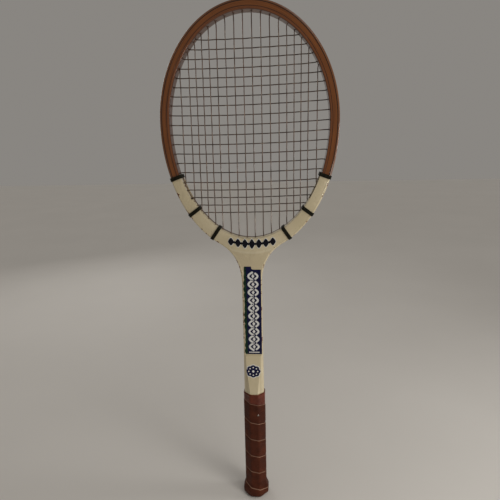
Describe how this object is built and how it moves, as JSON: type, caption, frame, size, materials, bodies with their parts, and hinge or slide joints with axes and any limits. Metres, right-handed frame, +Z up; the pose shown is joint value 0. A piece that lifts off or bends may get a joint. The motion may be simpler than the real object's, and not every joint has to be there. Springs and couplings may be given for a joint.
{
  "type": "tennis racket",
  "caption": "Wooden tennis racket with an oval laminated head, woven strings, a painted throat and shaft, and a leather-wrapped handle.",
  "frame": {"origin": "centre of the flat butt end, where the handle starts", "axes": "+Z up the handle to the tip of the head, -Y out of the decorated front face, X across the string bed"},
  "size_m": [0.224, 0.0352, 0.686],
  "materials": {
    "stained_ply": "stained and varnished, glossy",
    "core_ply": "stained and varnished, glossy",
    "inner_ply": "reddish stain, varnished",
    "throat_wood": "ivory paint, gloss",
    "bow_wood": "ivory paint, gloss",
    "centre_wood": "bare glue-line strip",
    "front_paint": "ivory gloss paint with a printed panel",
    "back_paint": "ivory gloss paint",
    "binding": "black thread binding, varnished",
    "string": "translucent amber-brown string",
    "handle_wood": "ivory paint above the grip, bare below",
    "butt_wood": "bare",
    "butt_leather": "dark, worn",
    "collar": "red-brown, glossy",
    "leather": "brown, worn smooth",
    "tack_metal": "dull nickel"
  },
  "bodies": {
    "root": {"hoop_outer_ply": "stained_ply", "hoop_core_ply": "core_ply", "hoop_inner_ply": "inner_ply", "throat_wedge": "throat_wood", "throat_bow_strip": "bow_wood", "shaft_centre_strip": "centre_wood", "front_overlay": "front_paint", "back_overlay": "back_paint", "binding_left_upper": "binding", "binding_left_middle": "binding", "binding_left_lower": "binding", "binding_right_upper": "binding", "binding_right_middle": "binding", "binding_right_lower": "binding", "main_string": "string", "cross_string": "string", "handle_flake_left": "handle_wood", "handle_flake_right": "handle_wood", "handle_flake_front": "handle_wood", "handle_flake_back": "handle_wood", "butt_block": "butt_wood", "butt_end_disc": "butt_leather", "grip_collar": "collar", "leather_grip": "leather", "grip_tack": "tack_metal"}
  },
  "joints": []
}
